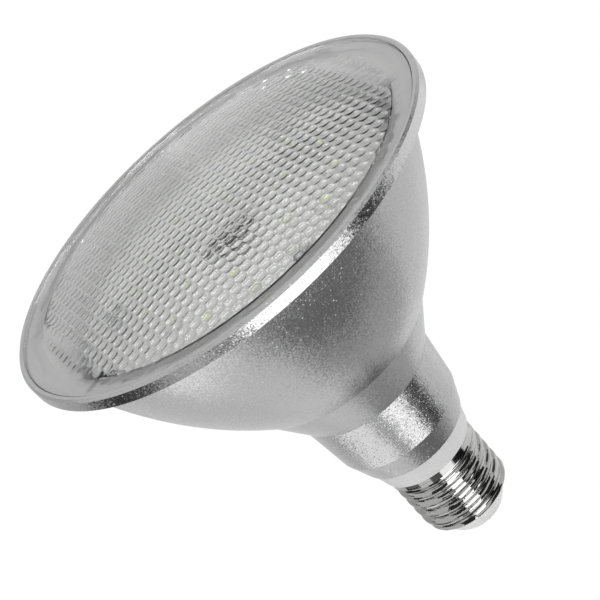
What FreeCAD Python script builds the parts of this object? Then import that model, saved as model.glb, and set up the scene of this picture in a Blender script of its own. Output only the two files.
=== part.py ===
import FreeCAD, Part
import math
import os

# Reflector spotlight lamp with a screw cap, standing on its cap with the lens upwards.
# Millimetres. The origin is the tip of the centre contact, on the lamp's axis, and Z is that axis.

V = FreeCAD.Vector
os.makedirs("parts", exist_ok=True)

# Screw cap
contact_radius = 4.6
contact_height = 1.5
rivet_radius = 1.1
rivet_length = 3.2
insulator_height = 7.1
insulator_nose_radius = 5.6
insulator_flange = 1.6
shell_radius = 13.1
shell_wall = 0.45
shell_lip = 0.5
shell_bead = 1.6
shell_edge_radius = 11.4
thread_pitch = 3.63
thread_depth = 1.0
thread_turns = 4.4
skirt_height = 2.8

# Driver sleeve, whose collar shows between the cap and the casting
collar_height = 6.4
collar_step = 0.7
collar_setback = 0.65
sleeve_radius = 14.0
sleeve_wall = 1.8
flare_height = 1.5
nose_wall = 1.5
nose_gap = 2.2
seal_thickness = 1.2
seal_place = 1.6
hook_count = 3
hook_reach = 0.8
hook_width = 5.0
hook_height = 2.4
hook_slot = 4.5

# Cast housing, outside
heel_wall = 1.85
chamfer_height = 7.0
chamfer_reach = 2.45
neck_height = 15.1
neck_flare = 1.6
step_height = 12.6
step_top_radius = 27.5
bowl_height = 46.9
flange_width = 5.5
bowl_bulge = 3.25
rim_height = 3.4
rim_radius = 60.5
rim_bevel = 0.6

# Cast housing, inside
casting_wall = 2.2
lip_width = 1.45
pocket_depth = 2.4
ledge_drop = 14.0
ledge_slope = 0.4
ledge_width = 3.4
ledge_height = 2.0
boss_radius = 3.2
boss_inset = 6.6
boss_length = 18.0
land_height = 10.0

# Lens
lens_edge = 1.8
lens_border = 5.6
lens_crown = 5.7
lens_thickness = 2.6
lens_recess = 0.3
sealant_width = 3.6

# Light engine
plate_thickness = 2.5
pad_thickness = 0.4
board_thickness = 1.4
board_margin = 2.2
wire_hole_radius = 5.0
led_side = 3.2
led_height = 0.9
phosphor_radius = 1.25
phosphor_depth = 0.35
outer_ring_radius = 29.5
outer_ring_count = 14
outer_ring_phase = 5.0
inner_ring_radius = 17.5
inner_ring_count = 6
inner_ring_phase = 13.0
screw_count = 3
screw_phase = -75.0
screw_radius = 1.4
screw_head_radius = 2.7
screw_head_height = 1.7
screw_reach = 6.0

# Driver
driver_thickness = 1.2
driver_side_gap = 1.2
driver_tail_width = 15.0
driver_offset = 3.0
driver_length = 59.0
driver_gap = 3.6
tail_gap = 0.6
part_gap = 1.0
end_gap = 0.5
rail_depth = 1.6
rail_wall = 1.2
bulk_radius = 4.5
bulk_length = 12.0
output_radius = 3.2
output_length = 9.0
film_size = (8.0, 4.5, 6.0)
varistor_radius = 3.4
varistor_thickness = 2.6
fuse_radius = 1.5
fuse_length = 7.0
bridge_size = (5.0, 2.2, 4.7)
chip_size = (4.0, 1.6, 5.0)
core_width = 12.4
core_depth = 5.0
core_height = 12.0
core_bar = 2.0
core_leg = 4.0
bobbin_wall = 0.6
lead_radius = 0.4
lead_lap = 5.0
lead_bend = 2.7
led_wire_radius = 0.6
led_wire_spread = 3.0
led_wire_pitch = 2.2
led_wire_slant = 0.22
led_wire_free = 6.0
led_wire_straight = 12.0
led_wire_loop = 2.4
led_wire_landing = 8.6
solder_height = 0.4

# Clearances
press = 0.02
slip = 0.1
seat = 0.05
loose = 0.2

# Heights that follow, from the contact up
insulator_bottom = contact_height
shell_bottom = insulator_bottom + insulator_height
thread_bottom = shell_bottom + shell_bead
thread_top = thread_bottom + thread_turns * thread_pitch
shell_top = thread_top + skirt_height
collar_top = shell_top + collar_height
chamfer_top = collar_top + chamfer_height
neck_top = chamfer_top + neck_height
step_top = neck_top + step_height
bowl_top = step_top + bowl_height
rim_top = bowl_top + rim_height
pocket_floor = rim_top - pocket_depth
lens_seat = rim_top - lens_recess - lens_edge
plate_bottom = pocket_floor - ledge_drop
plate_top = plate_bottom + plate_thickness
board_bottom = plate_top + pad_thickness
board_top = board_bottom + board_thickness
land_top = collar_top + land_height
flare_top = shell_top + flare_height
seal_bottom = collar_top + seal_place
insulator_top = shell_bottom + shell_lip + seat + insulator_flange
nose_bottom = insulator_top + nose_gap
driver_bottom = insulator_top + driver_gap
driver_top = driver_bottom + driver_length
sleeve_top = driver_top
tail_top = flare_top + tail_gap
row_4 = driver_top - end_gap - core_height
row_3 = row_4 - part_gap - bulk_length
row_2 = row_3 - part_gap - film_size[2]
row_1 = row_2 - part_gap - 2 * varistor_radius
board_front = -driver_offset + driver_thickness / 2
board_back = -driver_offset - driver_thickness / 2

# Radii that follow
bowl_top_radius = rim_radius - flange_width
lip_radius = rim_radius - lip_width
lens_radius = lip_radius - slip
crown_radius = lens_radius - lens_border
ledge_radius = bowl_top_radius - casting_wall
root_radius = shell_radius - thread_depth
shell_bore = root_radius - shell_wall
skirt_bore = shell_radius - shell_wall
nose_radius = shell_bore - slip
nose_bore = nose_radius - nose_wall
sleeve_bore = sleeve_radius - sleeve_wall
land_radius = sleeve_radius + slip
heel_radius = land_radius + heel_wall
neck_bottom_radius = heel_radius + chamfer_reach
neck_top_radius = neck_bottom_radius + neck_flare
collar_bottom_radius = shell_radius + collar_step
collar_top_radius = heel_radius - collar_setback
driver_width = 2 * (sleeve_bore - driver_side_gap)
ledge_outer = ledge_radius - ledge_drop * ledge_slope
ledge_inner = ledge_outer - ledge_width
boss_place = ledge_inner - boss_inset


def spot(place):
    """A point (r, z) of a half section, in the XZ plane."""
    return V(place[0], 0, place[1])


def bulge(a, b, height):
    """The point that an arc from a to b passes through, height to the right of its chord's middle."""
    dr = b[0] - a[0]
    dz = b[1] - a[1]
    chord = math.hypot(dr, dz)
    return ((a[0] + b[0]) / 2 + height * dz / chord, (a[1] + b[1]) / 2 - height * dr / chord)


def turned(*steps):
    """A solid of revolution about Z. A step is a point, or an arc as (through, end)."""
    edges = []
    here = steps[0]
    for step in steps[1:] + steps[:1]:
        if isinstance(step[0], tuple):
            edges.append(Part.Arc(spot(here), spot(step[0]), spot(step[1])).toShape())
            here = step[1]
        else:
            edges.append(Part.LineSegment(spot(here), spot(step)).toShape())
            here = step
    face = Part.Face(Part.Wire(edges))
    return face.revolve(V(0, 0, 0), V(0, 0, 1), 360)


def ring(inner, outer, bottom, top):
    """A plain ring or tube round Z."""
    return turned((inner, bottom), (outer, bottom), (outer, top), (inner, top))


def disc(radius, bottom, top, x=0, y=0):
    return Part.makeCylinder(radius, top - bottom, V(x, y, bottom))


def block(x0, x1, y0, y1, z0, z1):
    return Part.makeBox(x1 - x0, y1 - y0, z1 - z0, V(x0, y0, z0))


def around(count, radius, phase=0):
    """Centres, with their angles in degrees, of copies spread evenly on a circle."""
    for i in range(count):
        angle = phase + 360.0 * i / count
        yield radius * math.cos(math.radians(angle)), radius * math.sin(math.radians(angle)), angle


def screw_places():
    return around(screw_count, boss_place, screw_phase)


def fused(shapes):
    first = shapes[0]
    return first.fuse(shapes[1:]).removeSplitter() if len(shapes) > 1 else first


def lead(points, radius):
    """A round wire along straight runs that tangent arcs join."""
    corners = [V(*p) for p in points]
    edges = []
    here = corners[0]
    for before, corner, after in zip(corners, corners[1:], corners[2:]):
        come = (corner - before).normalize()
        go = (after - corner).normalize()
        half = math.acos(max(-1.0, min(1.0, come.dot(go)))) / 2
        cut = 0.45 * min(before.distanceToPoint(corner), corner.distanceToPoint(after))
        arc_radius = cut / math.tan(half)
        start = corner - come * cut
        end = corner + go * cut
        inward = (go - come).normalize()
        centre = corner + inward * (arc_radius / math.cos(half))
        edges.append(Part.LineSegment(here, start).toShape())
        edges.append(Part.Arc(start, centre - inward * arc_radius, end).toShape())
        here = end
        print("lead radius", round(arc_radius, 2), "wire", radius)
    edges.append(Part.LineSegment(here, corners[-1]).toShape())
    path = Part.Wire(edges)
    direction = corners[1] - corners[0]
    section = Part.Wire([Part.Circle(corners[0], direction, radius).toShape()])
    return path.makePipeShell([section], True, False)


def make_centre_contact():
    """Domed button with the hollow of its rivet filled by solder."""
    return turned(
        (0, 0),
        (bulge((0, 0), (contact_radius, contact_height * 0.55), 0.25), (contact_radius, contact_height * 0.55)),
        (contact_radius, contact_height - seat),
        (rivet_radius, contact_height - seat),
        (rivet_radius, contact_height + rivet_length),
        (0, contact_height + rivet_length),
    )


def make_cap_insulator():
    """Domed insulator that closes the bottom of the shell and carries the contact."""
    hole = rivet_radius + seat
    flange_bottom = insulator_top - insulator_flange
    body_radius = shell_edge_radius - 1.2
    nose = (insulator_nose_radius, insulator_bottom)
    shoulder = (body_radius, shell_bottom - 0.6)
    return turned(
        (hole, insulator_bottom),
        nose,
        (bulge(nose, shoulder, 1.1), shoulder),
        (body_radius, flange_bottom),
        (shell_bore - slip, flange_bottom),
        (shell_bore - slip, insulator_top),
        (hole, insulator_top),
    )


def knuckle_cutter():
    """Rounded groove of the rolled thread, swept round the shell."""
    half = thread_pitch / 2
    bend = (half ** 2 + thread_depth ** 2) / (4 * thread_depth)
    crest_flat = 0.2
    top = shell_radius - bend + math.sqrt(bend ** 2 - crest_flat ** 2)
    middle_radius = shell_radius - thread_depth / 2
    outside = shell_radius + 0.6
    crest_turn = math.asin(half / (2 * bend)) / 2
    crest = (shell_radius - bend + bend * math.cos(crest_turn), half - bend * math.sin(crest_turn))

    def mirrored(place):
        return (place[0], -place[1])

    middle = (middle_radius, half / 2)
    points = [
        (outside, half - crest_flat), (top, half - crest_flat), crest, middle,
        (root_radius, 0), mirrored(middle), mirrored(crest), (top, crest_flat - half), (outside, crest_flat - half),
    ]
    edges = [
        Part.LineSegment(spot(points[0]), spot(points[1])).toShape(),
        Part.Arc(spot(points[1]), spot(points[2]), spot(points[3])).toShape(),
        Part.Arc(spot(points[3]), spot(points[4]), spot(points[5])).toShape(),
        Part.Arc(spot(points[5]), spot(points[6]), spot(points[7])).toShape(),
        Part.LineSegment(spot(points[7]), spot(points[8])).toShape(),
        Part.LineSegment(spot(points[8]), spot(points[0])).toShape(),
    ]
    return Part.Wire(edges)


def make_screw_shell():
    """Rolled sheet shell: skirt, knuckle thread, and a bottom edge turned in over the insulator."""
    outer_edge = shell_radius - 0.35
    blank = turned(
        (shell_edge_radius - 1.1, shell_bottom),
        (shell_edge_radius, shell_bottom),
        (bulge((shell_edge_radius, shell_bottom), (outer_edge, thread_bottom), 0.45), (outer_edge, thread_bottom)),
        (shell_radius, thread_bottom + 0.5),
        (shell_radius, shell_top),
        (skirt_bore, shell_top),
        (skirt_bore, thread_top),
        (shell_bore, thread_top - shell_wall),
        (shell_bore, shell_bottom + shell_lip),
        (shell_edge_radius - 1.1, shell_bottom + shell_lip),
    )
    start = thread_bottom - thread_pitch * 0.6
    climb = thread_top - thread_pitch * 0.35 - start
    helix = Part.makeHelix(thread_pitch, climb, root_radius)
    groove = Part.Wire(helix).makePipeShell([knuckle_cutter()], True, True)
    groove.translate(V(0, 0, start))
    return blank.cut(groove)


def make_driver_sleeve():
    """Moulded sleeve: nose in the shell, visible collar, and a tube up the neck with three hooks."""
    groove_floor = land_radius - seal_thickness
    groove_top = seal_bottom + seal_thickness + slip
    body = turned(
        (nose_bore, nose_bottom),
        (nose_radius, nose_bottom),
        (nose_radius, thread_top - shell_wall + slip),
        (skirt_bore - slip, thread_top + slip),
        (skirt_bore - slip, shell_top + seat),
        (collar_bottom_radius, shell_top + seat),
        (collar_top_radius, collar_top - 0.5),
        (collar_top_radius - 0.5, collar_top - seat),
        (sleeve_radius, collar_top - seat),
        (sleeve_radius, seal_bottom),
        (groove_floor, seal_bottom),
        (groove_floor, groove_top),
        (sleeve_radius, groove_top),
        (sleeve_radius, sleeve_top),
        (sleeve_bore, sleeve_top),
        (sleeve_bore, flare_top),
        (nose_bore, thread_top),
    )
    hook_bottom = land_top + slip
    hook_tip = (sleeve_radius + hook_reach, hook_bottom)
    hook_ring = turned(
        (sleeve_radius - sleeve_wall / 2, hook_bottom),
        hook_tip,
        (sleeve_radius, hook_bottom + hook_height),
        (sleeve_radius - sleeve_wall / 2, hook_bottom + hook_height),
    )
    reach = sleeve_radius + hook_reach + 1
    hooks = []
    slots = []
    slot_bottom = land_top - hook_slot
    slot_top = hook_bottom + hook_height + 1.0
    for _, _, angle in around(hook_count, 1, 90):
        wedge = block(0, reach, -hook_width / 2, hook_width / 2, hook_bottom, hook_bottom + hook_height)
        wedge.rotate(V(0, 0, 0), V(0, 0, 1), angle)
        hooks.append(hook_ring.common(wedge))
        window = block(sleeve_bore - 2, reach, -hook_width / 2 - 1, hook_width / 2 + 1, slot_bottom, slot_top)
        finger = block(
            sleeve_bore - 3, reach + 1, -hook_width / 2, hook_width / 2,
            slot_bottom - 1, hook_bottom + hook_height,
        )
        slot = window.cut(finger)
        slot.rotate(V(0, 0, 0), V(0, 0, 1), angle)
        slots.append(slot)
    body = body.cut(slots).fuse(hooks)
    core = ring(0.5, sleeve_bore + sleeve_wall / 6, flare_top, sleeve_top)
    rails = []
    back = board_back - slip - rail_wall
    front = board_front + slip + rail_wall
    slot_half = driver_width / 2 + loose
    for side in (-1, 1):
        outer = side * (sleeve_bore + 1)
        inner = side * (driver_width / 2 - rail_depth + 1)
        rail = block(min(outer, inner), max(outer, inner), back, front, flare_top, sleeve_top)
        rails.append(rail.common(core))
    body = body.fuse(rails)
    channel = block(-slot_half, slot_half, back + rail_wall, front - rail_wall, flare_top, sleeve_top + 1)
    return body.cut(channel.common(disc(sleeve_bore + 0.4, flare_top, sleeve_top + 1)))


def make_collar_seal():
    """O-ring between the sleeve and the bore of the neck."""
    middle = seal_bottom + (seal_thickness + slip) / 2
    return Part.makeTorus(land_radius - seal_thickness / 2, seal_thickness / 2 - press, V(0, 0, middle))


def make_housing():
    """One casting: rim with the lens pocket, bowl, step, neck and heel."""
    bowl_foot = (step_top_radius, step_top)
    bowl_head = (bowl_top_radius, bowl_top)
    body = turned(
        (0, collar_top),
        (heel_radius, collar_top),
        (neck_bottom_radius, chamfer_top),
        (neck_top_radius, neck_top),
        bowl_foot,
        (bulge(bowl_foot, bowl_head, bowl_bulge), bowl_head),
        (rim_radius, bowl_top),
        (rim_radius, rim_top - rim_bevel),
        (rim_radius - rim_bevel, rim_top),
        (0, rim_top),
    )
    pocket_edge = (ledge_radius, pocket_floor)
    seat_edge = (ledge_outer, plate_bottom)
    cavity_head = (ledge_inner, plate_bottom - ledge_height)
    cavity_foot = (step_top_radius - casting_wall, step_top + casting_wall * 0.9)
    neck_core = neck_top_radius - casting_wall - 0.4
    slope_end = chamfer_top + (neck_bottom_radius - land_radius) * 0.5
    void = turned(
        (0, rim_top + 1),
        (lip_radius, rim_top + 1),
        (lip_radius, pocket_floor),
        pocket_edge,
        (bulge(pocket_edge, seat_edge, -0.15), seat_edge),
        (ledge_inner, plate_bottom),
        cavity_head,
        (bulge(cavity_head, cavity_foot, -bowl_bulge * 0.6), cavity_foot),
        (neck_core, neck_top + casting_wall * 0.5),
        (neck_bottom_radius - casting_wall, max(land_top, slope_end) + 0.8),
        (neck_bottom_radius - casting_wall, land_top),
        (land_radius, land_top),
        (land_radius, collar_top - 1),
        (0, collar_top - 1),
    )
    bosses = []
    pilots = []
    boss_bottom = plate_bottom - boss_length
    for x, y, _ in screw_places():
        bosses.append(disc(boss_radius, boss_bottom, plate_bottom, x, y))
        pilots.append(disc(screw_radius + seat, plate_bottom - screw_reach - 2, plate_bottom + 1, x, y))
    return body.cut(void.cut(bosses)).cut(pilots)


def make_heat_plate():
    """Aluminium disc that carries the light engine on the ledge of the bowl."""
    plate = ring(wire_hole_radius + 0.5, ledge_outer - slip, plate_bottom, plate_top)
    holes = [disc(screw_radius + loose, plate_bottom - 1, plate_top + 1, x, y) for x, y, _ in screw_places()]
    return plate.cut(holes)


def make_thermal_pad():
    pad = ring(wire_hole_radius + 1.5, ledge_outer - board_margin - 1, plate_top, board_bottom)
    holes = [disc(screw_radius + 1, plate_top - 1, board_bottom + 1, x, y) for x, y, _ in screw_places()]
    return pad.cut(holes)


def led_places():
    """Centres and angles of both rings of light sources."""
    yield from around(outer_ring_count, outer_ring_radius, outer_ring_phase)
    yield from around(inner_ring_count, inner_ring_radius, inner_ring_phase)


def make_led_board():
    board = ring(wire_hole_radius, ledge_outer - board_margin, board_bottom, board_top)
    holes = [disc(screw_radius + slip, board_bottom - 1, board_top + 1, x, y) for x, y, _ in screw_places()]
    return board.cut(holes)


def make_led_bodies():
    """Square moulded packages, each with a round pocket for its phosphor."""
    bodies = []
    half = led_side / 2
    for x, y, angle in led_places():
        package = block(-half, half, -half, half, board_top, board_top + led_height)
        package = package.cut(disc(phosphor_radius, board_top + led_height - phosphor_depth, board_top + 2))
        package.rotate(V(0, 0, 0), V(0, 0, 1), angle)
        package.translate(V(x, y, 0))
        bodies.append(package)
    return Part.makeCompound(bodies)


def make_led_phosphors():
    top = board_top + led_height
    return Part.makeCompound([
        disc(phosphor_radius - press, top - phosphor_depth, top - 0.05, x, y) for x, y, _ in led_places()
    ])


def make_board_screws():
    """Pan-head screws with a cross recess, through board and plate into the casting."""
    screws = []
    recess_depth = screw_head_height * 0.5
    head_top = board_top + screw_head_height
    for x, y, angle in screw_places():
        head = turned(
            (0, board_top),
            (screw_head_radius, board_top),
            (screw_head_radius, board_top + screw_head_height * 0.5),
            (bulge((screw_head_radius, board_top + screw_head_height * 0.5), (0, head_top), 0.3), (0, head_top)),
        )
        arm = screw_head_radius * 0.6
        cross = [
            block(-arm, arm, -0.35, 0.35, head_top - recess_depth, head_top + 1),
            block(-0.35, 0.35, -arm, arm, head_top - recess_depth, head_top + 1),
        ]
        head = head.cut(cross)
        shank = disc(screw_radius, plate_bottom - screw_reach, board_top + 0.1)
        screw = head.fuse(shank)
        screw.rotate(V(0, 0, 0), V(0, 0, 1), angle + 20)
        screw.translate(V(x, y, 0))
        screws.append(screw)
    return Part.makeCompound(screws)


def make_front_lens():
    """Pressed glass: flat border for the seal, domed middle."""
    border_top = rim_top - lens_recess
    apex = border_top + lens_crown
    sphere = (crown_radius ** 2 + lens_crown ** 2) / (2 * lens_crown)
    inner_edge = crown_radius - 1.2
    inner_apex = apex - lens_thickness
    inner_sphere = sphere - lens_thickness
    drop = inner_sphere - math.sqrt(inner_sphere ** 2 - inner_edge ** 2)

    def outer_height(r):
        return apex - (sphere - math.sqrt(sphere ** 2 - r ** 2))

    def inner_height(r):
        return inner_apex - (inner_sphere - math.sqrt(inner_sphere ** 2 - r ** 2))

    half = crown_radius / 2
    return turned(
        (0, inner_apex),
        ((half, inner_height(half)), (inner_edge, inner_apex - drop)),
        (inner_edge + 0.6, lens_seat),
        (lens_radius, lens_seat),
        (lens_radius, border_top - 0.25),
        (lens_radius - 0.25, border_top),
        (crown_radius, border_top),
        ((half, outer_height(half)), (0, apex)),
    )


def make_lens_sealant():
    """Silicone bead that the lens is bedded in."""
    return ring(lens_radius - sealant_width, lens_radius, pocket_floor, lens_seat)


def make_screw_cap():
    return {
        "centre_contact": make_centre_contact(),
        "cap_insulator": make_cap_insulator(),
        "screw_shell": make_screw_shell(),
    }


def make_driver_board():
    """Narrow in the cap, wide in the tube."""
    wide = driver_width / 2
    narrow = driver_tail_width / 2
    top = block(-wide, wide, board_back, board_front, tail_top, driver_top)
    tail = block(-narrow, narrow, board_back, board_front, driver_bottom, tail_top)
    return top.fuse(tail).removeSplitter()


def make_can(radius, length, x, bottom):
    """Electrolytic can that lies along the board, with its crimped groove."""
    can = turned(
        (0, bottom), (radius - 0.3, bottom), (radius, bottom + 0.3), (radius, bottom + 1.4),
        (radius - 0.35, bottom + 1.9), (radius, bottom + 2.4), (radius, bottom + length - 0.3),
        (radius - 0.3, bottom + length), (0, bottom + length),
    )
    can.translate(V(x, board_front + radius + seat, 0))
    return can


def rounded_block(x, z, size, face, sign):
    """Moulded component that stands on a face of the board, away from it by sign."""
    width, depth, height = size
    y = face + sign * seat
    low = min(y, y + sign * depth)
    body = block(x - width / 2, x + width / 2, low, low + depth, z, z + height)
    return body.makeFillet(0.4, body.Edges)


def make_mains_side():
    varistor = disc(varistor_radius, 0, varistor_thickness)
    varistor.rotate(V(0, 0, 0), V(1, 0, 0), -90)
    varistor.translate(V(-varistor_radius - 1.2, board_front + seat, row_1 + varistor_radius))
    varistor = varistor.makeFillet(0.6, varistor.Edges)
    fuse = Part.makeCylinder(fuse_radius, fuse_length, V(1.2, board_front + seat + fuse_radius, row_1 + 2), V(1, 0, 0))
    fuse = fuse.makeFillet(0.5, fuse.Edges)
    return {
        "varistor": varistor,
        "fuse_resistor": fuse,
        "film_capacitor": rounded_block(-film_size[0] / 2 - end_gap, row_2, film_size, board_front, 1),
        "bridge_rectifier": rounded_block(0, row_2, bridge_size, board_back, -1),
        "bulk_capacitor": make_can(bulk_radius, bulk_length, -bulk_radius - loose, row_3),
        "output_capacitor": make_can(output_radius, output_length, output_radius + 1.2, row_3),
        "driver_chip": rounded_block(0, row_3, chip_size, board_back, -1),
    }


def make_transformer():
    """Core with two windows, bobbin on its middle leg, and the winding between the flanges."""
    bobbin_y = core_depth / 2 + 2.6
    centre_y = board_front + seat + bobbin_y
    bottom = row_4
    window_bottom = bottom + core_bar
    window_top = bottom + core_height - core_bar
    leg = core_leg / 2
    outer_leg = core_width / 2 - 1.6
    core = block(-core_width / 2, core_width / 2, -core_depth / 2, core_depth / 2, bottom, bottom + core_height)
    windows = [
        block(leg, outer_leg, -core_depth, core_depth, window_bottom, window_top),
        block(-outer_leg, -leg, -core_depth, core_depth, window_bottom, window_top),
    ]
    core = core.cut(windows)
    gap = slip
    tube_x = leg + gap + bobbin_wall
    tube_y = core_depth / 2 + gap + bobbin_wall
    flange_x = outer_leg - gap
    low = window_bottom + gap
    high = window_top - gap
    flange = bobbin_wall + 0.1
    hollow = block(-leg - gap, leg + gap, -core_depth / 2 - gap, core_depth / 2 + gap, low - 1, high + 1)
    bobbin = fused([
        block(-tube_x, tube_x, -tube_y, tube_y, low, high),
        block(-flange_x, flange_x, -bobbin_y, bobbin_y, low, low + flange),
        block(-flange_x, flange_x, -bobbin_y, bobbin_y, high - flange, high),
    ]).cut(hollow)
    coil = block(
        -flange_x + 0.3, flange_x - 0.3, -bobbin_y + 0.5, bobbin_y - 0.5, low + flange + seat, high - flange - seat)
    upright = [edge for edge in coil.Edges if abs(edge.tangentAt(0).z) > 0.9]
    coil = coil.makeFillet(1.2, upright)
    coil = coil.cut(block(-tube_x - seat, tube_x + seat, -tube_y - seat, tube_y + seat, low, high))
    pieces = {"transformer_core": core, "transformer_bobbin": bobbin, "transformer_winding": coil}
    for piece in pieces.values():
        piece.translate(V(0, centre_y, 0))
    return pieces


def make_wires():
    """Leads from the driver to the contact, the shell and the board of light sources."""
    live_y = board_front + lead_radius + seat
    rivet_top = contact_height + rivet_length
    live_top = driver_bottom + lead_lap
    turn = rivet_top + (insulator_top - insulator_bottom) * 0.75
    live = lead(
        [(0, live_y, live_top), (0, live_y, turn + lead_bend), (0, 0, turn), (0, 0, rivet_top)],
        lead_radius,
    )
    neutral_z = (insulator_top + nose_bottom) / 2
    neutral_x = -driver_tail_width / 3
    neutral = lead(
        [
            (neutral_x, live_y, live_top), (neutral_x, live_y, neutral_z),
            (lead_radius * 0.2 - math.sqrt((shell_bore - seat) ** 2 - live_y ** 2), live_y, neutral_z),
        ],
        lead_radius,
    )
    wire_y = board_back - led_wire_radius - seat
    over = board_top + led_wire_loop
    leads = {"live_wire": live, "neutral_wire": neutral}
    for name, side in (("led_wire_positive", 1), ("led_wire_negative", -1)):
        beside = side * led_wire_spread
        inside = side * led_wire_pitch
        landing = side * led_wire_landing
        before = landing - side * led_wire_loop * 0.6
        leads[name] = lead(
            [
                (beside, wire_y, driver_top - lead_lap),
                (beside, wire_y, driver_top + led_wire_free),
                (inside, inside * led_wire_slant, board_bottom - led_wire_straight),
                (inside, inside * led_wire_slant, over),
                (before, before * led_wire_slant, over),
                (landing, landing * led_wire_slant, board_top + solder_height),
            ],
            led_wire_radius,
        )
    return leads


pieces = make_screw_cap()
pieces["driver_sleeve"] = make_driver_sleeve()
pieces["collar_seal"] = make_collar_seal()
pieces["housing"] = make_housing()
pieces["heat_plate"] = make_heat_plate()
pieces["thermal_pad"] = make_thermal_pad()
pieces["led_board"] = make_led_board()
pieces["led_bodies"] = make_led_bodies()
pieces["led_phosphors"] = make_led_phosphors()
pieces["board_screws"] = make_board_screws()
pieces["front_lens"] = make_front_lens()
pieces["lens_sealant"] = make_lens_sealant()
pieces["driver_board"] = make_driver_board()
pieces.update(make_mains_side())
pieces.update(make_transformer())
pieces.update(make_wires())

for name, shape in pieces.items():
    shape.exportStep("parts/" + name + ".step")
    print(name, "solids", len(shape.Solids), "volume", round(shape.Volume, 2), "valid", shape.isValid())
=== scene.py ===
import math

import bmesh
import bpy
from mathutils import Euler, Matrix, Vector


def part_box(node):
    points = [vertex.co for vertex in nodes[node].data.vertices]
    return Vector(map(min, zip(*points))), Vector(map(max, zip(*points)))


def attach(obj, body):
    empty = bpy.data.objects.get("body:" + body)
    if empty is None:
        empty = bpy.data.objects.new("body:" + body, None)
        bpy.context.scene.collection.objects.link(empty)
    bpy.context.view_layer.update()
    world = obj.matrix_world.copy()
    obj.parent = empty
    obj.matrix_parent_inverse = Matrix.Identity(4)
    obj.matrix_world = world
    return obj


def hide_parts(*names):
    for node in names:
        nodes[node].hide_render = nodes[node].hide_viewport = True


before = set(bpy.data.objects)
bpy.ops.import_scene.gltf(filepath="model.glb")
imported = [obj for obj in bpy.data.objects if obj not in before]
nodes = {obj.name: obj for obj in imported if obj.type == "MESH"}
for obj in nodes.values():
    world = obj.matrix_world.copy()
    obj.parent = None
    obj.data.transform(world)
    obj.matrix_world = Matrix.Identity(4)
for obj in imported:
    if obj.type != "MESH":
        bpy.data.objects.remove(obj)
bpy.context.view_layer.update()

MM = 0.001


# Places and sizes that several pieces share, in metres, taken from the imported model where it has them

def low(node):
    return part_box(node)[0]


def high(node):
    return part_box(node)[1]


rim_radius = high("housing").x
rim_top = high("housing").z
shell_bottom = low("screw_shell").z
shell_top = high("screw_shell").z
thread_start = shell_bottom + 1.6 * MM
thread_end = shell_top - 2.8 * MM
lens_edge_radius = high("front_lens").x
border_width = 5.6 * MM
crown_radius = lens_edge_radius - border_width
field_radius = crown_radius - 1.2 * MM
lenslet_pitch = 3.2 * MM
lenslet_turn = math.radians(-81.5)


# Small tools

def hex_colour(code):
    """sRGB hex to linear RGBA."""
    channels = [int(code[i:i + 2], 16) / 255 for i in (1, 3, 5)]
    linear = [c / 12.92 if c <= 0.04045 else ((c + 0.055) / 1.055) ** 2.4 for c in channels]
    return (*linear, 1.0)


def put(tree, kind, inputs=None, **settings):
    """Adds a node with its own settings. Inputs are plain values or the sockets that feed them."""
    node = tree.nodes.new(kind)
    for key, value in settings.items():
        setattr(node, key, value)
    for key, value in (inputs or {}).items():
        socket = node.inputs[key]
        if isinstance(value, bpy.types.NodeSocket):
            tree.links.new(value, socket)
        else:
            socket.default_value = value
    return node


def new_material(name):
    material = bpy.data.materials.new(name)
    material.use_nodes = True
    material.node_tree.nodes.clear()
    return material, material.node_tree


def finish_material(tree, shader):
    put(tree, "ShaderNodeOutputMaterial", {"Surface": shader.outputs[0]})


def dress(node_name, material):
    """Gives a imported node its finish."""
    mesh = nodes[node_name].data
    mesh.materials.clear()
    mesh.materials.append(material)


def stand_for(obj, slot, *node_names):
    """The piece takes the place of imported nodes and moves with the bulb's one body."""
    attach(obj, "root")
    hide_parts(*node_names)


def add_object(name, mesh, material):
    obj = bpy.data.objects.new(name, mesh)
    bpy.context.scene.collection.objects.link(obj)
    mesh.materials.append(material)
    return obj


def smooth_by_angle(bm, degrees):
    """Smooth faces, with a sharp edge wherever two faces meet at more than this angle."""
    limit = math.radians(degrees)
    for face in bm.faces:
        face.smooth = True
    for edge in bm.edges:
        if len(edge.link_faces) == 2:
            edge.smooth = edge.calc_face_angle(0) < limit


def mesh_from(bm, name, degrees):
    """Closes the edit as a new mesh with smooth faces, and sharp edges above this angle."""
    smooth_by_angle(bm, degrees)
    mesh = bpy.data.meshes.new(name)
    bm.to_mesh(mesh)
    bm.free()
    return mesh


def lathe(profile, segments, wave=None):
    """Closed mesh turned round Z from a closed profile of (radius, z). Points on the axis become poles."""
    bm = bmesh.new()
    rings = []
    for radius, z in profile:
        if radius == 0:
            rings.append([bm.verts.new((0, 0, z))] * segments)
            continue
        ring = []
        for s in range(segments):
            angle = math.tau * s / segments
            r = radius + (wave(radius, angle) if wave else 0.0)
            ring.append(bm.verts.new((r * math.cos(angle), r * math.sin(angle), z)))
        rings.append(ring)
    for a, b in zip(rings, rings[1:] + rings[:1]):
        for s in range(segments):
            t = (s + 1) % segments
            corners = list(dict.fromkeys((a[s], a[t], b[t], b[s])))
            if len(corners) > 2:
                bm.faces.new(corners)
    bmesh.ops.recalc_face_normals(bm, faces=bm.faces)
    return bm


# Finishes

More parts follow.
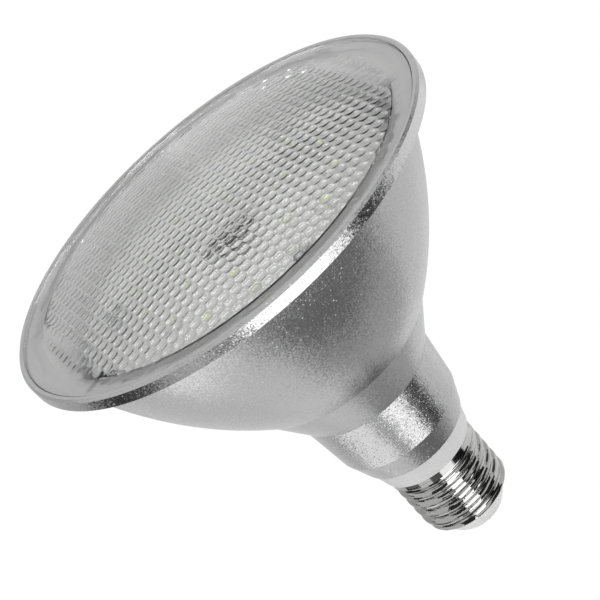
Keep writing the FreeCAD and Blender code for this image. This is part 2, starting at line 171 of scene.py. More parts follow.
def flaked_normal(tree, place, size_mm, tilt):
    """Normal of a surface of fine flat grains, each tilted its own way, and a few of them much more."""
    rarity = 10.0
    extra_tilt = 3 * tilt
    grains = put(tree, "ShaderNodeTexVoronoi", {"Vector": place, "Scale": 1 / (size_mm * MM)})
    centred = put(tree, "ShaderNodeVectorMath", {
        0: grains.outputs["Color"], 1: (0.5, 0.5, 0.5)}, operation="SUBTRACT")
    chance = put(tree, "ShaderNodeTexWhiteNoise", {"Vector": grains.outputs["Position"]}).outputs["Value"]
    rare = put(tree, "ShaderNodeMath", {0: chance, 1: rarity}, operation="POWER").outputs[0]
    amount = put(tree, "ShaderNodeMath", {0: rare, 1: extra_tilt, 2: tilt}, operation="MULTIPLY_ADD")
    lean = put(tree, "ShaderNodeVectorMath", {
        0: centred.outputs[0], "Scale": amount.outputs[0]}, operation="SCALE")
    straight = put(tree, "ShaderNodeNewGeometry").outputs["Normal"]
    leant = put(tree, "ShaderNodeVectorMath", {0: straight, 1: lean.outputs[0]}, operation="ADD")
    return put(tree, "ShaderNodeVectorMath", {0: leant.outputs[0]}, operation="NORMALIZE").outputs[0]


def cast_aluminium():
    """Die-cast aluminium, blasted under a thin clear lacquer. Its reflections break into a fine sparkle."""
    grain_size_mm = 0.24
    grain_tilt = 0.135
    material, tree = new_material("blasted cast aluminium")
    place = put(tree, "ShaderNodeTexCoord").outputs["Object"]
    broad = put(tree, "ShaderNodeTexNoise", {"Vector": place, "Scale": 1 / (9 * MM), "Detail": 3.0})
    gloss = put(tree, "ShaderNodeMapRange", {
        "Value": broad.outputs["Fac"], "From Min": 0.3, "From Max": 0.7, "To Min": 0.2, "To Max": 0.25})
    fine = put(tree, "ShaderNodeTexNoise", {"Vector": place, "Scale": 1 / (0.35 * MM), "Detail": 1.0})
    tone = put(tree, "ShaderNodeMix", {
        0: fine.outputs["Fac"], 6: hex_colour("#A2A2A3"), 7: hex_colour("#B8B8B8")}, data_type="RGBA")
    shader = put(tree, "ShaderNodeBsdfPrincipled", {
        "Base Color": tone.outputs[2], "Metallic": 1.0, "Roughness": gloss.outputs["Result"],
        "Normal": flaked_normal(tree, place, grain_size_mm, grain_tilt)})
    finish_material(tree, shader)
    return material


def pressed_glass():
    """Pressed soda-lime glass, fire polished: clear, colourless, with a faint unevenness. A ripple on the
    lattice of the lenslets shapes them further, and fades out at the edge of their field."""
    ripple_height = 0.13
    fade_start = field_radius - 1.65 * MM
    fade_end = field_radius + 0.35 * MM
    wave_number = 2 * math.tau / math.sqrt(3) / lenslet_pitch
    material, tree = new_material("pressed clear glass")
    place = put(tree, "ShaderNodeTexCoord").outputs["Object"]
    uneven = put(tree, "ShaderNodeTexNoise", {"Vector": place, "Scale": 1 / (6 * MM), "Detail": 1.0})
    height = uneven.outputs["Fac"]
    level = put(tree, "ShaderNodeVectorMath", {0: place, 1: (1, 1, 0)}, operation="MULTIPLY").outputs[0]
    radius = put(tree, "ShaderNodeVectorMath", {0: level}, operation="LENGTH").outputs["Value"]
    share = put(tree, "ShaderNodeMapRange", {
        "Value": radius, "From Min": fade_start, "From Max": fade_end,
        "To Min": ripple_height, "To Max": 0.0}).outputs["Result"]
    for k in range(3):
        angle = lenslet_turn + math.radians(30 + 60 * k)
        across = Vector((math.cos(angle), math.sin(angle), 0)) * wave_number
        phase = put(tree, "ShaderNodeVectorMath", {0: place, 1: across}, operation="DOT_PRODUCT")
        ripple = put(tree, "ShaderNodeMath", {0: phase.outputs["Value"]}, operation="COSINE").outputs[0]
        added = put(tree, "ShaderNodeMath", {0: ripple, 1: share, 2: height}, operation="MULTIPLY_ADD")
        height = added.outputs[0]
    bump = put(tree, "ShaderNodeBump", {"Strength": 1.0, "Distance": 0.06 * MM, "Height": height})
    shader = put(tree, "ShaderNodeBsdfPrincipled", {
        "Base Color": hex_colour("#FDFDFD"), "Roughness": 0.03, "IOR": 1.5, "Transmission Weight": 1.0,
        "Normal": bump.outputs["Normal"]})
    finish_material(tree, shader)
    return material


def plain_finish(name, colour, roughness, metallic=0.0, grain_mm=0.5, depth_mm=0.02, spread=0.06,
                 edge_colour_and_painted_shade=None):
    """A moulded, plated or coated surface: slight colour drift and a fine surface grain. Upright faces take
    the
    dark edge colour, where one is given: painted shade in holes and on edges, for a board partly its core."""
    material, tree = new_material(name)
    place = put(tree, "ShaderNodeTexCoord").outputs["Object"]
    grain = put(tree, "ShaderNodeTexNoise", {"Vector": place, "Scale": 1 / (grain_mm * MM), "Detail": 2.0})
    bump = put(tree, "ShaderNodeBump", {
        "Strength": 0.3, "Distance": depth_mm * MM, "Height": grain.outputs["Fac"]})
    tone = hex_colour(colour)
    # Upright faces, the walls of holes and the edges, take the dark edge colour: painted shade.
    if edge_colour_and_painted_shade:
        normal = put(tree, "ShaderNodeNewGeometry").outputs["Normal"]
        rise = put(tree, "ShaderNodeSeparateXYZ", {0: normal}).outputs["Z"]
        level = put(tree, "ShaderNodeMath", {0: rise}, operation="ABSOLUTE").outputs[0]
        flat = put(tree, "ShaderNodeMath", {0: level, 1: 0.5}, operation="GREATER_THAN").outputs[0]
        tone = put(tree, "ShaderNodeMix", {
            0: flat, 6: hex_colour(edge_colour_and_painted_shade), 7: hex_colour(colour)}, data_type="RGBA").outputs[2]
    value = put(tree, "ShaderNodeMapRange", {
        "Value": grain.outputs["Fac"], "From Min": 0.3, "From Max": 0.7,
        "To Min": 1 - spread, "To Max": 1 + spread})
    drift = put(tree, "ShaderNodeHueSaturation", {"Color": tone, "Value": value.outputs["Result"]})
    shader = put(tree, "ShaderNodeBsdfPrincipled", {
        "Base Color": drift.outputs["Color"], "Metallic": metallic, "Roughness": roughness,
        "Normal": bump.outputs["Normal"]})
    finish_material(tree, shader)
    return material


def rolled_nickel():
    """Bright nickel plate on rolled brass. The rolling leaves marks along the thread, and the curled foot and
    the plain skirt stay smooth."""
    mark_height = 0.75 * MM
    mark_rate = 1.1
    mark_share = 1.4
    dent_size = 3 * MM
    skirt_share = 0.05
    material, tree = new_material("bright nickel plate")
    place = put(tree, "ShaderNodeTexCoord").outputs["Object"]
    part = put(tree, "ShaderNodeSeparateXYZ", {0: place}).outputs
    angle = put(tree, "ShaderNodeMath", {0: part["Y"], 1: part["X"]}, operation="ARCTAN2").outputs[0]
    around = put(tree, "ShaderNodeMath", {0: angle, 1: mark_rate}, operation="MULTIPLY").outputs[0]
    up = put(tree, "ShaderNodeMath", {0: part["Z"], 1: 1 / mark_height}, operation="MULTIPLY").outputs[0]
    along = put(tree, "ShaderNodeCombineXYZ", {0: around, 1: up}).outputs[0]
    marks = put(tree, "ShaderNodeTexNoise", {"Vector": along, "Scale": 1.0, "Detail": 1.0, "Roughness": 0.5})
    dents = put(tree, "ShaderNodeTexNoise", {"Vector": place, "Scale": 1 / dent_size, "Detail": 2.0})
    height = put(tree, "ShaderNodeMath", {
        0: marks.outputs["Fac"], 1: mark_share, 2: dents.outputs["Fac"]}, operation="MULTIPLY_ADD").outputs[0]
    above = put(tree, "ShaderNodeMapRange", {
        "Value": part["Z"], "From Min": thread_start, "From Max": thread_start + 1 * MM}).outputs["Result"]
    threaded = put(tree, "ShaderNodeMapRange", {
        "Value": part["Z"], "From Min": thread_end - 0.6 * MM, "From Max": thread_end + 0.4 * MM,
        "To Min": above, "To Max": skirt_share}).outputs["Result"]
    height = put(tree, "ShaderNodeMath", {0: height, 1: threaded}, operation="MULTIPLY").outputs[0]
    bump = put(tree, "ShaderNodeBump", {"Strength": 1.0, "Distance": 0.2 * MM, "Height": height})
    shader = put(tree, "ShaderNodeBsdfPrincipled", {
        "Base Color": hex_colour("#A2A2A1"), "Metallic": 1.0, "Roughness": 0.08,
        "Normal": bump.outputs["Normal"]})
    finish_material(tree, shader)
    return material


finish = {
    "cast": cast_aluminium(),
    "cast_inside": plain_finish("bare casting inside", "#BEBEBE", 0.75, 0.0, 0.8, 0.05),
    "glass": pressed_glass(),
    # The sheet's near-black edge colour is painted shade on the walls of its hole and rim.
    "sheet": plain_finish("pressed aluminium sheet", "#CDCECF", 0.5, 0.4, edge_colour_and_painted_shade="#2B2B2B"),
    "silicone": plain_finish("cured silicone", "#A4A4A4", 0.5),
    "seat": plain_finish("turned casting seat", "#9C9C9C", 0.45),
    "lip": plain_finish("rubbed lacquer on the lip", "#C2C2C2", 0.5, 0.5, 0.3),
    "nickel": rolled_nickel(),
    "contact": plain_finish("plated contact", "#BDB8AE", 0.3, 1.0),
    "insulator": plain_finish(
        "pale glazed insulator", "#E6E6E4", 0.35, grain_mm=2.0, depth_mm=0.004, spread=0.02),
    "white_plastic": plain_finish("white moulded polyester", "#D2D2D2", 0.42),
    "pad": plain_finish("dark heat-conducting pad", "#2A2B2D", 0.7),
    # The board's near-black edge colour is painted shade in its hole and on its rim, partly the darker colour
    # of its core.
    "white_mask": plain_finish("white solder mask", "#D2D2D1", 0.35, edge_colour_and_painted_shade="#1C1B19"),
    "package": plain_finish("white package resin", "#DADAD6", 0.45),
    "phosphor": plain_finish("yellow phosphor", "#CDDA9A", 0.3),
    "zinc": plain_finish("zinc plated steel", "#9A9B9D", 0.3, 1.0),
    "rubber": plain_finish("black seal rubber", "#1A1A1A", 0.6),
    "green_mask": plain_finish("green solder mask", "#1F5E33", 0.35),
    "can_sleeve": plain_finish("dark shrink sleeve", "#16181E", 0.3),
    "film_case": plain_finish("dipped red case", "#9C3A1E", 0.3),
    "epoxy": plain_finish("black moulded epoxy", "#141414", 0.5),
    "blue_coat": plain_finish("blue dipped coating", "#24448A", 0.3),
    "fuse_coat": plain_finish("flameproof coating", "#6D8069", 0.6),
    "ferrite": plain_finish("sintered ferrite", "#2A2A2C", 0.6),
    "bobbin": plain_finish("black phenolic", "#181818", 0.5),
    "copper": plain_finish("enamelled copper winding", "#B5642E", 0.35, 1.0, 0.4, 0.08),
    "red_wire": plain_finish("red wire insulation", "#B31F1A", 0.4),
    "black_wire": plain_finish("black wire insulation", "#151515", 0.4),
    "white_wire": plain_finish("white wire insulation", "#C9C9C5", 0.4),
}

worn_by = {
    "housing": "cast", "front_lens": "glass", "lens_sealant": "silicone", "screw_shell": "nickel",
    "cap_insulator": "insulator", "centre_contact": "contact", "driver_sleeve": "white_plastic",
    "collar_seal": "rubber", "heat_plate": "sheet", "thermal_pad": "pad", "led_board": "white_mask",
    "led_bodies": "package", "led_phosphors": "phosphor", "board_screws": "zinc",
    "driver_board": "green_mask", "bulk_capacitor": "can_sleeve", "output_capacitor": "can_sleeve",
    "film_capacitor": "film_case", "bridge_rectifier": "epoxy", "driver_chip": "epoxy",
    "varistor": "blue_coat", "fuse_resistor": "fuse_coat", "transformer_core": "ferrite",
    "transformer_bobbin": "bobbin", "transformer_winding": "copper", "live_wire": "red_wire",
    "neutral_wire": "white_wire", "led_wire_positive": "white_wire", "led_wire_negative": "black_wire",
}
for node_name, finish_name in worn_by.items():
    dress(node_name, finish[finish_name])


# Lens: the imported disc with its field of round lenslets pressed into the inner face

lens_recess = 0.3 * MM
border_thickness = 1.8 * MM
border_top = rim_top - lens_recess
border_bottom = border_top - border_thickness
crown = 5.7 * MM
crown_sphere = (crown_radius ** 2 + crown ** 2) / (2 * crown)
glass_thickness = 2.6 * MM
lenslet_radius = 1.75 * MM
lenslet_depth = 0.2 * MM
lenslet_power = 2.6
lattice_rows = 49
field_step = lenslet_pitch / 7


def dome_height(radius, below=0.0):
    """Height of the dome's outer face, or of the face this far inside it."""
    sphere = crown_sphere - below
    return border_top + crown - below - (sphere - math.sqrt(sphere ** 2 - radius ** 2))


def lens_blank():
    """Closed lens mesh. The inner field is a fine triangular grid. Its points close to the edge circle are
    drawn onto it, and rings go on from there."""
    reach_out, reach_in = 0.45 * field_step, 0.5 * field_step
    shortest_edge = 0.2 * field_step
    edge_round = 0.25 * MM
    border_start = field_radius + 0.6 * MM
    dome_rings = 22
    segments = 480
    bm = bmesh.new()
    field = bm.verts.layers.float.new("field")
    count = int(field_radius / field_step) + 2
    grid = {}
    for j in range(-count, count + 1):
        for i in range(-2 * count, 2 * count + 1):
            x = (i + j / 2) * field_step
            y = j * field_step * math.sqrt(3) / 2
            radius = math.hypot(x, y)
            if radius < field_radius + reach_out:
                if radius > field_radius - reach_in:
                    x, y = x * field_radius / radius, y * field_radius / radius
                grid[i, j] = (x, y)
    turn = Matrix.Rotation(lenslet_turn, 2)
    verts = {}
    for key, place in grid.items():
        x, y = turn @ Vector(place)
        verts[key] = bm.verts.new((x, y, dome_height(math.hypot(x, y), glass_thickness)))
        verts[key][field] = 1.0
    for i, j in grid:
        for corners in (((i, j), (i + 1, j), (i, j + 1)), ((i + 1, j), (i + 1, j + 1), (i, j + 1))):
            if all(c in verts for c in corners):
                bm.faces.new([verts[c] for c in corners])
    bmesh.ops.delete(bm, geom=[v for v in bm.verts if not v.link_faces], context="VERTS")
    slivers = [e for e in bm.edges if e.calc_length() < shortest_edge]
    bmesh.ops.collapse(bm, edges=slivers)
    inner_loop = [e for e in bm.edges if e.is_boundary]
    rings = [
        (border_start, border_bottom), (lens_edge_radius, border_bottom),
        (lens_edge_radius, border_top - edge_round), (lens_edge_radius - edge_round, border_top),
        (crown_radius, border_top),
    ]
    for k in range(1, dome_rings):
        radius = crown_radius * (1 - k / dome_rings)
        rings.append((radius, dome_height(radius)))
    angles = [math.tau * s / segments for s in range(segments)]
    corners = [(math.cos(a), math.sin(a)) for a in angles]
    made = [[bm.verts.new((radius * c, radius * s, z)) for c, s in corners] for radius, z in rings]
    apex = bm.verts.new((0, 0, dome_height(0)))
    for a, b in zip(made, made[1:] + [[apex] * segments]):
        for s in range(segments):
            t = (s + 1) % segments
            bm.faces.new(dict.fromkeys((a[s], a[t], b[t], b[s])))
    outer_loop = [e for e in bm.edges if e.is_boundary and e not in set(inner_loop)]
    bmesh.ops.bridge_loops(bm, edges=inner_loop + outer_loop)
    bmesh.ops.recalc_face_normals(bm, faces=bm.faces)
    return mesh_from(bm, "front lens", 12)


def lenslet_tree():
    """Geometry nodes that press round lenslets, on a hexagonal lattice, into the marked field of the lens. A
    lenslet falls off with a power of the distance from its middle."""
    tree = bpy.data.node_groups.new("press lenslets", "GeometryNodeTree")
    sockets = {
        "Geometry": "NodeSocketGeometry", "Pitch": "NodeSocketFloat", "Turn": "NodeSocketFloat",
        "Lenslet Radius": "NodeSocketFloat", "Depth": "NodeSocketFloat", "Rows": "NodeSocketInt",
        "Glass": "NodeSocketMaterial",
    }
    for name, kind in sockets.items():
        tree.interface.new_socket(name, in_out="INPUT", socket_type=kind)
    tree.interface.new_socket("Geometry", in_out="OUTPUT", socket_type="NodeSocketGeometry")
    given = put(tree, "NodeGroupInput").outputs

    def maths(operation, a, b=0.0):
        return put(tree, "ShaderNodeMath", {0: a, 1: b}, operation=operation).outputs[0]

    span = maths("MULTIPLY", given["Pitch"], maths("SUBTRACT", given["Rows"], 1.0))
    grid = put(tree, "GeometryNodeMeshGrid", {
        "Size X": span, "Size Y": span, "Vertices X": given["Rows"], "Vertices Y": given["Rows"]})
    position = put(tree, "GeometryNodeInputPosition").outputs[0]
    place = put(tree, "ShaderNodeSeparateXYZ", {0: position}).outputs
    leant = maths("ADD", place["X"], maths("MULTIPLY", place["Y"], 0.5))
    raised = maths("MULTIPLY", place["Y"], math.sqrt(3) / 2)
    on_lattice = put(tree, "ShaderNodeCombineXYZ", {0: leant, 1: raised}).outputs[0]
    lattice = put(tree, "GeometryNodeSetPosition", {"Geometry": grid.outputs["Mesh"], "Position": on_lattice})
    about_z = put(tree, "ShaderNodeCombineXYZ", {2: given["Turn"]}).outputs[0]
    turned = put(tree, "GeometryNodeTransform", {"Geometry": lattice.outputs[0], "Rotation": about_z})
    flat = put(tree, "ShaderNodeCombineXYZ", {0: place["X"], 1: place["Y"]}).outputs[0]
    near = put(tree, "GeometryNodeProximity", {
        0: turned.outputs[0], "Sample Position": flat}, target_element="POINTS").outputs["Distance"]
    share = maths("DIVIDE", near, given["Lenslet Radius"])
    cap = maths("SUBTRACT", 1.0, maths("POWER", share, lenslet_power))
    height = maths("MULTIPLY", maths("MAXIMUM", cap, 0.0), given["Depth"])
    field = put(tree, "GeometryNodeInputNamedAttribute", {"Name": "field"}, data_type="FLOAT").outputs[0]
    drop = maths("MULTIPLY", maths("MULTIPLY", height, field), -1.0)
    downwards = put(tree, "ShaderNodeCombineXYZ", {2: drop}).outputs[0]
    pressed = put(tree, "GeometryNodeSetPosition", {"Geometry": given["Geometry"], "Offset": downwards})
    glassy = put(tree, "GeometryNodeSetMaterial", {
        "Geometry": pressed.outputs[0], "Material": given["Glass"]})
    put(tree, "NodeGroupOutput", {"Geometry": glassy.outputs[0]})
    return tree


def plain_mesh_from(obj, tree, values):
    """Runs a geometry tree on an object with these named inputs, and keeps the result as its plain mesh."""
    modifier = obj.modifiers.new("shape", "NODES")
    modifier.node_group = tree
    for item in tree.interface.items_tree:
        if item.in_out == "INPUT" and item.name in values:
            modifier[item.identifier] = values[item.name]
    evaluated = obj.evaluated_get(bpy.context.evaluated_depsgraph_get())
    mesh = bpy.data.meshes.new_from_object(evaluated)
    obj.modifiers.clear()
    obj.data = mesh
    return mesh


def make_lens():
    """The lens throws no shadow, so that the lamps light the board through the glass."""
    lens = add_object("lens", lens_blank(), finish["glass"])
    mesh = plain_mesh_from(lens, lenslet_tree(), {
        "Pitch": lenslet_pitch, "Turn": lenslet_turn, "Lenslet Radius": lenslet_radius,
        "Depth": lenslet_depth, "Rows": lattice_rows, "Glass": finish["glass"]})
    mesh.name = "lens"
    mesh.attributes.remove(mesh.attributes["field"])
    lens.visible_shadow = False
    stand_for(lens, "clear_glass", "front_lens")


make_lens()


# Screw shell: the rolled knuckle thread at full fineness

thread_pitch = 3.63 * MM
thread_depth = 1.0 * MM
thread_phase = 0.6 * thread_pitch
thread_runout = 0.4 * thread_pitch
shell_sheet = 0.45 * MM
crest_radius = high("screw_shell").x
shell_bore = crest_radius - thread_depth - shell_sheet


def knuckle(z, angle):
    """Depth of the rolled groove at a height and an angle round the shell. It runs out below the skirt."""
    runout_end = thread_end - 0.1 * thread_pitch
    bend = ((thread_pitch / 2) ** 2 + thread_depth ** 2) / (4 * thread_depth)
    along = (z - thread_start + thread_phase) / thread_pitch - angle / math.tau
    away = abs(along - round(along)) * thread_pitch
    if away < thread_pitch / 4:
        depth = thread_depth - bend + math.sqrt(bend ** 2 - away ** 2)
    else:
        depth = bend - math.sqrt(bend ** 2 - (thread_pitch / 2 - away) ** 2)
    share = (runout_end - z) / thread_runout
    return depth * max(0.0, min(1.0, share))


def make_screw_shell():
    """The outer wall has its curled foot and many rows for the thread. The bore inside it is plain."""
    segments = 240
    rows = 150
    curl_steps = 8
    curl_height = thread_start - shell_bottom
    curl_radius = 11.4 * MM
    hole_radius = curl_radius - 1.1 * MM
    foot_top = shell_bottom + 0.5 * MM
    outline = []
    for k in range(curl_steps + 1):
        turn = math.radians(90) * k / curl_steps
        outline.append((curl_radius + (crest_radius - curl_radius) * math.sin(turn),
                        shell_bottom + curl_height * (1 - math.cos(turn))))
    for k in range(1, rows + 1):
        outline.append((crest_radius, thread_start + (shell_top - thread_start) * k / rows))
    outer_rings = len(outline)
    outline += [(crest_radius - shell_sheet, shell_top), (crest_radius - shell_sheet, thread_end),
                (shell_bore, thread_end - shell_sheet), (shell_bore, foot_top),
                (hole_radius, foot_top), (hole_radius, shell_bottom)]
    bm = bmesh.new()
    rings = []
    for index, (radius, z) in enumerate(outline):
        ring = []
        for s in range(segments):
            angle = math.tau * s / segments
            depth = knuckle(z, angle) if index < outer_rings else 0.0
            r = min(radius, crest_radius - depth)
            ring.append(bm.verts.new((r * math.cos(angle), r * math.sin(angle), z)))
        rings.append(ring)
    for a, b in zip(rings, rings[1:] + rings[:1]):
        for s in range(segments):
            t = (s + 1) % segments
            bm.faces.new((a[s], a[t], b[t], b[s]))
    bmesh.ops.recalc_face_normals(bm, faces=bm.faces)
    shell = add_object("screw_cap_shell", mesh_from(bm, "screw cap shell", 40), finish["nickel"])
    stand_for(shell, "nickel_shell", "screw_shell")


make_screw_shell()


# Cast body: one lathe form with its inner walls, and the three bosses inside

collar_top = low("housing").z
chamfer_top = collar_top + 7.0 * MM
neck_top = chamfer_top + 15.1 * MM
step_top = neck_top + 12.6 * MM
bowl_top = rim_top - 3.4 * MM
pocket_floor = rim_top - 2.4 * MM
plate_bottom = low("heat_plate").z
ledge_outer = high("heat_plate").x + 0.1 * MM
ledge_inner = ledge_outer - 3.4 * MM
land_top = collar_top + 10 * MM
casting_wall = 2.2 * MM
bowl_steps = 28
cast_slots = ("cast", "cast_inside", "seat", "lip")


def arc(a, b, height, steps):
    """Points of an arc from a to b, without a, that rises to the right of its chord by this height."""
    (ar, az), (br, bz) = a, b
    chord = math.hypot(br - ar, bz - az)
    across = Vector(((bz - az) / chord, (ar - br) / chord))
    half = math.atan2(2 * height, chord)
    bend = chord / (2 * math.sin(2 * half))
    middle = Vector(((ar + br) / 2, (az + bz) / 2))
    centre = middle - across * (bend * math.cos(2 * half))
    along = Vector((br - ar, bz - az)) / chord
    points = []
    for k in range(1, steps + 1):
        turn = (2 * k / steps - 1) * 2 * half
        points.append(tuple(centre + bend * (math.cos(turn) * across + math.sin(turn) * along)))
    return points


def add_bosses(bm, foot, head, bulge):
    """Three screw bosses inside the casting, each with its blind hole. They end within the wall of the bowl,
    whose outer face is the arc from foot to head."""
    boss_radius, boss_length = 3.2 * MM, 18 * MM
    boss_circle = ledge_inner - 6.6 * MM
    boss_steps = 9
    hole_radius, hole_depth = 1.45 * MM, 8 * MM
    outline = [(0, -boss_length)]
    outline += [(boss_radius, -boss_length * (1 - k / boss_steps)) for k in range(boss_steps + 1)]
    outline += [(hole_radius, 0), (hole_radius, -hole_depth), (0, -hole_depth)]
    wall = [foot] + arc(foot, head, bulge, bowl_steps)
    for k in range(3):
        angle = math.radians(-75 + 120 * k)
        centre = Vector((math.cos(angle), math.sin(angle), 0)) * boss_circle
        boss = lathe(outline, 32)
        for v in boss.verts:
            v.co += centre + Vector((0, 0, plate_bottom))
            radius = v.co.xy.length
            limit = min(wall, key=lambda p: abs(p[1] - v.co.z))[0] - 0.5 * casting_wall
            if radius > limit:
                v.co.xy *= limit / radius
        part = bpy.data.meshes.new("boss")
        boss.to_mesh(part)
        boss.free()
        before = set(bm.faces)
        bm.from_mesh(part)
        for face in set(bm.faces) - before:
            face.material_index = cast_slots.index("cast_inside")
        bpy.data.meshes.remove(part)


def make_cast_body():
    """The profile goes up the outside, over the lip, and down through pocket, cavity, neck and land."""
    tolerance = 0.01 * MM
    heel_radius, chamfer_radius, neck_radius, step_radius = (r * MM for r in (15.95, 18.4, 20.0, 27.5))
    bowl_radius = rim_radius - 5.5 * MM
    bowl_bulge = 3.25 * MM
    lip_radius = rim_radius - 1.45 * MM
    bevel = 0.6 * MM
    foot, head = (step_radius, step_top), (bowl_radius, bowl_top)
    seat_edge = (ledge_outer, plate_bottom)
    cavity_head = (ledge_inner, plate_bottom - 2 * MM)
    cavity_foot = (step_radius - casting_wall, step_top + casting_wall * 0.9)
    cavity_bulge = 0.6 * bowl_bulge
    bore_top, bore_bottom = neck_radius - casting_wall - 0.4 * MM, chamfer_radius - casting_wall
    land_radius = 14.1 * MM
    land_fillet = 0.8 * MM
    profile = [(heel_radius, collar_top), (chamfer_radius, chamfer_top), (neck_radius, neck_top), foot]
    profile += arc(foot, head, bowl_bulge, bowl_steps)
    profile += [(rim_radius, bowl_top), (rim_radius, rim_top - bevel), (rim_radius - bevel, rim_top),
                (lip_radius, rim_top), (lip_radius, pocket_floor), (bowl_radius - casting_wall, pocket_floor),
                seat_edge, (ledge_inner, plate_bottom), cavity_head]
    profile += arc(cavity_head, cavity_foot, -cavity_bulge, 14)
    profile += [(bore_top, neck_top + casting_wall / 2), (bore_bottom, land_top + land_fillet),
                (bore_bottom, land_top), (land_radius, land_top), (land_radius, collar_top)]
    bm = lathe(profile, 240)
    for face in bm.faces:
        middle = face.calc_center_median()
        outwards = face.normal.xy.dot(middle.xy) > 0
        inside = middle.xy.length < lip_radius + tolerance and middle.z < rim_top - tolerance
        worn = "cast"
        if inside and middle.z > collar_top + tolerance and not outwards:
            worn = "cast_inside"
        if inside and middle.z > pocket_floor - tolerance and abs(face.normal.z) > 0.5:
            worn = "seat"
        if middle.z > rim_top - tolerance:
            worn = "lip"
        face.material_index = cast_slots.index(worn)
    add_bosses(bm, foot, head, bowl_bulge)
    body = add_object("cast_body", mesh_from(bm, "cast body", 10), finish[cast_slots[0]])
    for worn in cast_slots[1:]:
        body.data.materials.append(finish[worn])
    stand_for(body, "cast_aluminium", "housing")


make_cast_body()


# Sealant: the silicone bead that shows through the border of the lens, with its uneven inner edge

def bead_wave(radius, angle):
    """The bead's outer edge is round. Its inner edge wanders."""
    if radius > lens_edge_radius - 1 * MM:
        return 0.0
    waves = ((9, 0.35, 1.0), (23, 0.28, 2.1), (41, 0.2, 0.0))
    return MM * sum(height * math.sin(count * angle + phase) for count, height, phase in waves)


def make_sealant():
    """The bead lies in the pocket and stops just under the glass."""
    glass_gap = 0.03 * MM
    bead_width = 3.4 * MM
    foot_inset = 0.3 * MM
    bottom, top = low("lens_sealant").z, high("lens_sealant").z - glass_gap
    inner, outer = lens_edge_radius - bead_width, lens_edge_radius
    bm = lathe([(inner + foot_inset, bottom), (outer, bottom), (outer, top), (inner, top)], 720, bead_wave)
    bead = add_object("sealant_bead", mesh_from(bm, "sealant bead", 40), finish["silicone"])
    stand_for(bead, "white_silicone", "lens_sealant")


make_sealant()


# Smooth copies of the turned and moulded pieces that show

def smooth_copy(node_name, name, finish_name, slot):
    """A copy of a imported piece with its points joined, so that its curved faces shade smoothly."""
    bm = bmesh.new()
    bm.from_mesh(nodes[node_name].data)
    bmesh.ops.remove_doubles(bm, verts=bm.verts, dist=0.002 * MM)
    obj = add_object(name, mesh_from(bm, name, 28), finish[finish_name])
    stand_for(obj, slot, node_name)


smooth_copy("driver_sleeve", "sleeve_and_collar", "white_plastic", "white_plastic")
smooth_copy("cap_insulator", "domed_insulator", "insulator", "pale_insulator")
smooth_copy("centre_contact", "contact_button", "contact", "contact_metal")


# Studio: white surroundings, soft lamps, and patches of a far dome that only reflections and the glass see

soft_level = 0.55
white_level = 1.01
lamp_distance = 1.2
lamp_side = 0.8
dome_radius = 3.0
dome_gap = 0.02


def direction(azimuth, elevation):
    """Way to a place round the bulb, from angles in degrees. Azimuth runs from +X towards +Y."""
    a, e = math.radians(azimuth), math.radians(elevation)
    return Vector((math.cos(a) * math.cos(e), math.sin(a) * math.cos(e), math.sin(e)))


def add_lamp(name, azimuth, elevation, watts):
    """Square soft lamp that faces the middle of the bulb, and that reflections don't show."""
    data = bpy.data.lights.new(name, "AREA")
    data.size = lamp_side
    data.energy = watts
    obj = bpy.data.objects.new(name, data)
    bpy.context.scene.collection.objects.link(obj)
    way = direction(azimuth, elevation)
    aim = Vector((0, 0, rim_top / 2))
    facing = way.to_track_quat("Z", "Y").to_matrix().to_4x4()
    obj.matrix_world = Matrix.Translation(aim + lamp_distance * way) @ facing
    obj.visible_glossy = False


def dome_patch(name, azimuths, elevations, strength, seen_by, radius):
    """Part of a dome round the bulb, between two azimuths and two elevations, of even brightness. It is seen
    in the outer faces, in the glass by way of its inner face, or in both. After a diffuse bounce it is as
    bright as the world, so it never adds light."""
    material, tree = new_material(name)
    bounces = put(tree, "ShaderNodeLightPath").outputs["Diffuse Depth"]
    bounced = put(tree, "ShaderNodeMath", {0: bounces, 1: 0.5}, operation="GREATER_THAN").outputs[0]
    level = put(tree, "ShaderNodeMapRange", {"Value": bounced, "To Min": strength, "To Max": soft_level})
    finish_material(tree, put(tree, "ShaderNodeEmission", {
        "Color": hex_colour("#FFFFFF"), "Strength": level.outputs["Result"]}))
    steps = 12
    bm = bmesh.new()
    rows = []
    for i in range(steps + 1):
        elevation = elevations[0] + (elevations[1] - elevations[0]) * i / steps
        row = []
        for j in range(steps + 1):
            azimuth = azimuths[0] + (azimuths[1] - azimuths[0]) * j / steps
            row.append(bm.verts.new(direction(azimuth, elevation) * radius))
        rows.append(row)
    for below, above in zip(rows, rows[1:]):
        for j in range(steps):
            bm.faces.new((below[j], below[j + 1], above[j + 1], above[j]))
    mesh = bpy.data.meshes.new(name)
    bm.to_mesh(mesh)
    bm.free()
    obj = add_object(name, mesh, material)
    obj.visible_camera = False
    obj.visible_shadow = False
    obj.visible_diffuse = False
    obj.visible_glossy = "outside" in seen_by
    obj.visible_transmission = "glass" in seen_by


# Azimuth, elevation and watts of each lamp
soft_lamps = {
    "front lamp": (-85, 10, 6.0),
    "top lamp": (95, 60, 3.5),
    "left lamp": (180, 28, 3.5),
    "right lamp": (0, 28, 3.5),
}

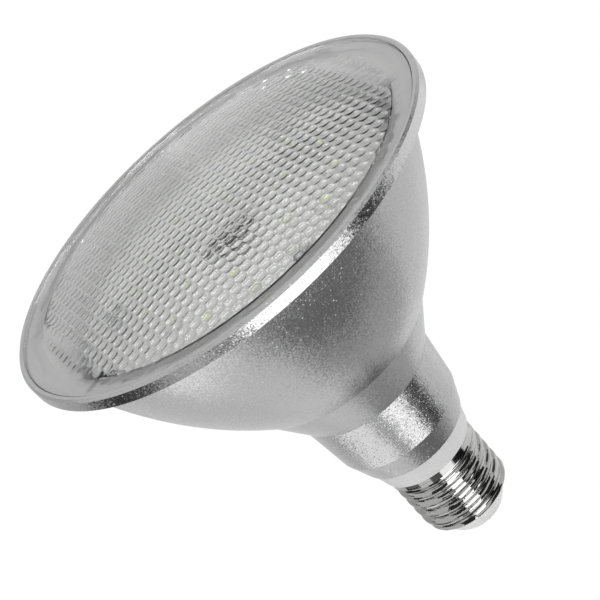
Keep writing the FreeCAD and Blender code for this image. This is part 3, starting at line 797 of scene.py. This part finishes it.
# Azimuths, elevations, brightness (white paper is 1) and what sees it. Later patches hang in front.
surroundings = {
    "floor": ((-180, 180), (-90, -79), 0.5, "outside"),
    "floor on the right": ((-15, 95), (-79, -59), 0.6, "outside"),
    "paper low on the right": ((-15, 95), (-59, -34), 0.95, "outside"),
    "paper on the right": ((-18, 46), (-34, 0), 1.35, "outside"),
    "paper on the far right": ((46, 96), (-34, 0), 0.85, "outside"),
    "paper on the far left": ((96, 158), (-30, 0), 0.66, "outside"),
    "paper on the far left, low": ((96, 158), (-60, -30), 0.85, "outside"),
    "paper low on the left": ((165, 238), (-54, -34), 1.7, "outside"),
    "front softbox": ((-114, -56), (-31, 48), 3.2, "outside"),
    "front softbox, dimmer foot": ((-104, -66), (-52, -31), 2.2, "outside"),
    "front gap, foot": ((-128, -104), (-52, -37), 0.8, "outside"),
    "front gap, lower part": ((-127, -102), (-37, -31), 0.12, "outside"),
    "front gap": ((-130, -116), (-38, -14), 0.2, "outside"),
    "front gap, upper part": ((-152, -110), (-14, 48), 0.05, "outside"),
    "lower flag, edge": ((-140, 0), (-82, -50), 0.5, "outside"),
    "lower flag": ((-122, -20), (-82, -52), 0.2, "outside"),
    "rear wall, low": ((10, 150), (-4, 30), 0.7, "outside"),
    "rear wall, low on the right": ((10, 90), (-4, 30), 0.9, "outside"),
    "rear wall, high": ((10, 150), (30, 74), 0.1, "outside and glass"),
    "hair light": ((74, 106), (52, 64), 5.5, "glass"),
    "left flag, edge": ((198, 222), (-32, 10), 0.7, "outside"),
    "left flag": ((158, 198), (-34, -6), 0.03, "outside"),
    "right flag": ((-50, -24), (-48, -14), 0.015, "outside"),
    "right flag, foot": ((-62, -24), (-50, -31), 0.02, "outside"),
    "right flag, upper part": ((-76, -14), (-14, 48), 0.03, "outside"),
}


def make_world():
    """Pure white to the camera, in reflections and through the glass, softer as light on the bulb."""
    world = bpy.data.worlds.new("studio")
    bpy.context.scene.world = world
    world.use_nodes = True
    tree = world.node_tree
    tree.nodes.clear()
    path = put(tree, "ShaderNodeLightPath").outputs
    seen = put(tree, "ShaderNodeMath", {
        0: path["Is Camera Ray"], 1: path["Is Glossy Ray"]}, operation="MAXIMUM")
    seen = put(tree, "ShaderNodeMath", {
        0: seen.outputs[0], 1: path["Is Transmission Ray"]}, operation="MAXIMUM")
    direct = put(tree, "ShaderNodeMath", {0: path["Diffuse Depth"], 1: 0.5}, operation="LESS_THAN")
    seen = put(tree, "ShaderNodeMath", {0: seen.outputs[0], 1: direct.outputs[0]}, operation="MULTIPLY")
    soft = put(tree, "ShaderNodeBackground", {"Color": hex_colour("#FFFFFF"), "Strength": soft_level})
    white = put(tree, "ShaderNodeBackground", {"Color": hex_colour("#FFFFFF"), "Strength": white_level})
    mixed = put(tree, "ShaderNodeMixShader", {0: seen.outputs[0], 1: soft.outputs[0], 2: white.outputs[0]})
    put(tree, "ShaderNodeOutputWorld", {"Surface": mixed.outputs[0]})


def make_camera():
    """The photograph's view: a long lens, from the glass side, rolled so that the cap points down right."""
    data = bpy.data.cameras.new("camera")
    data.lens = 102
    data.sensor_width = 36
    data.clip_start = 0.01
    camera = bpy.data.objects.new("camera", data)
    bpy.context.scene.collection.objects.link(camera)
    camera.location = Vector((1.44, -378.90, 155.57)) * MM + Vector((0, 0, rim_top))
    camera.rotation_euler = Euler([math.radians(a) for a in (56.014, 36.572, -21.884)])
    bpy.context.scene.camera = camera


make_camera()
make_world()
for name, lamp in soft_lamps.items():
    add_lamp(name, *lamp)
for index, (name, patch) in enumerate(surroundings.items()):
    dome_patch(name, *patch, radius=dome_radius - dome_gap * index)

bpy.context.scene.view_settings.view_transform = "Standard"
